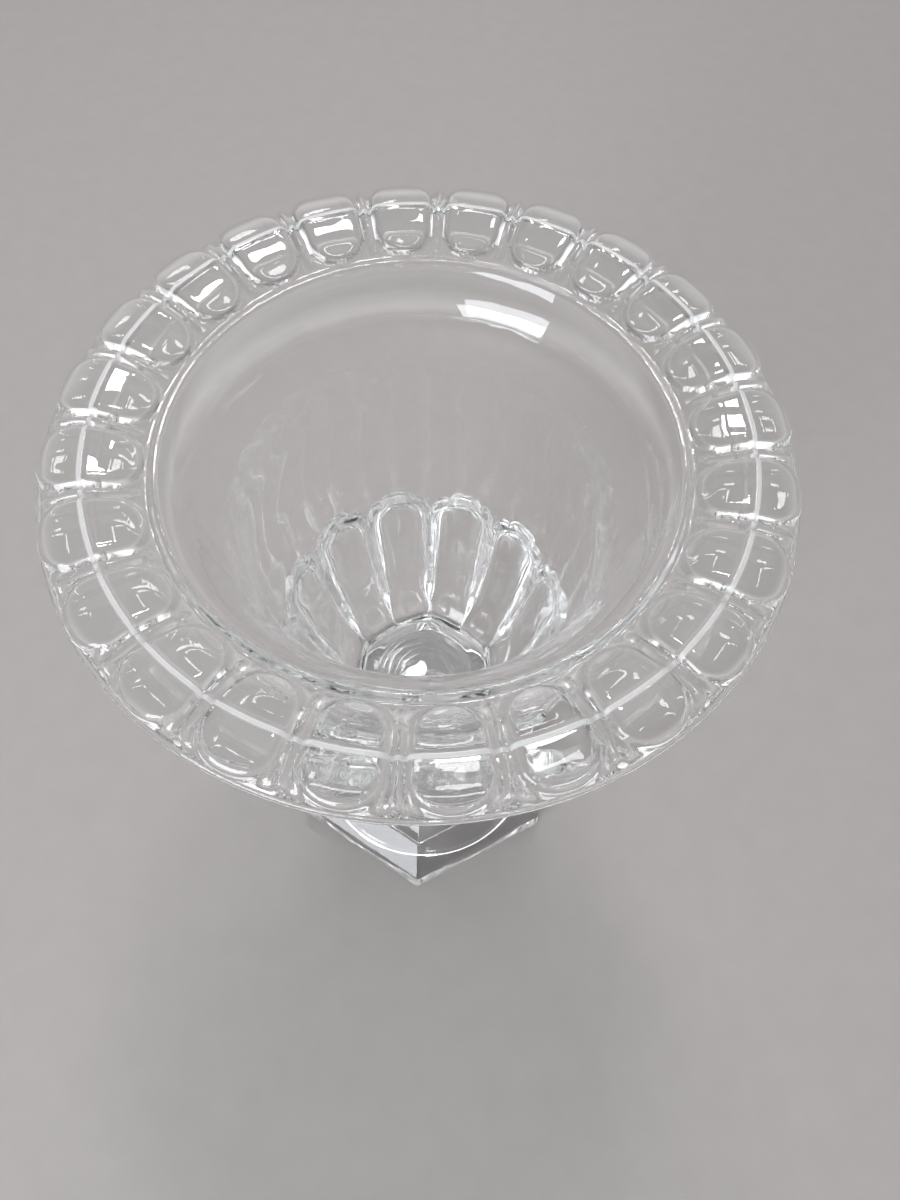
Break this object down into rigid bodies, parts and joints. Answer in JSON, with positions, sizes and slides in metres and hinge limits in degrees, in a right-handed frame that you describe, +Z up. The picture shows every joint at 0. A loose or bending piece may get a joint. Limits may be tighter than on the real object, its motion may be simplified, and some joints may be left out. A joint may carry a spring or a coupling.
{
  "type": "footed crystal urn vase",
  "caption": "Clear cut-crystal urn vase with a turned-over egg-and-dart rim, gadrooned bowl and hexagonal foot, for flowers or display.",
  "frame": {"origin": "middle of the flat underside of the hexagonal foot, on the surface the vase stands on", "axes": "+Z up the vase's axis, towards its mouth; -Y towards a corner of the foot, a dart of the rim and a valley between gadroons"},
  "size_m": [0.19, 0.19, 0.254],
  "materials": {
    "bowl_crystal": "fire-polished clear lead crystal",
    "bond_adhesive": "clear cured adhesive",
    "foot_crystal": "cut and polished clear lead crystal"
  },
  "bodies": {
    "root": {"bowl": "bowl_crystal", "joint_bond": "bond_adhesive", "foot": "foot_crystal"}
  },
  "joints": []
}
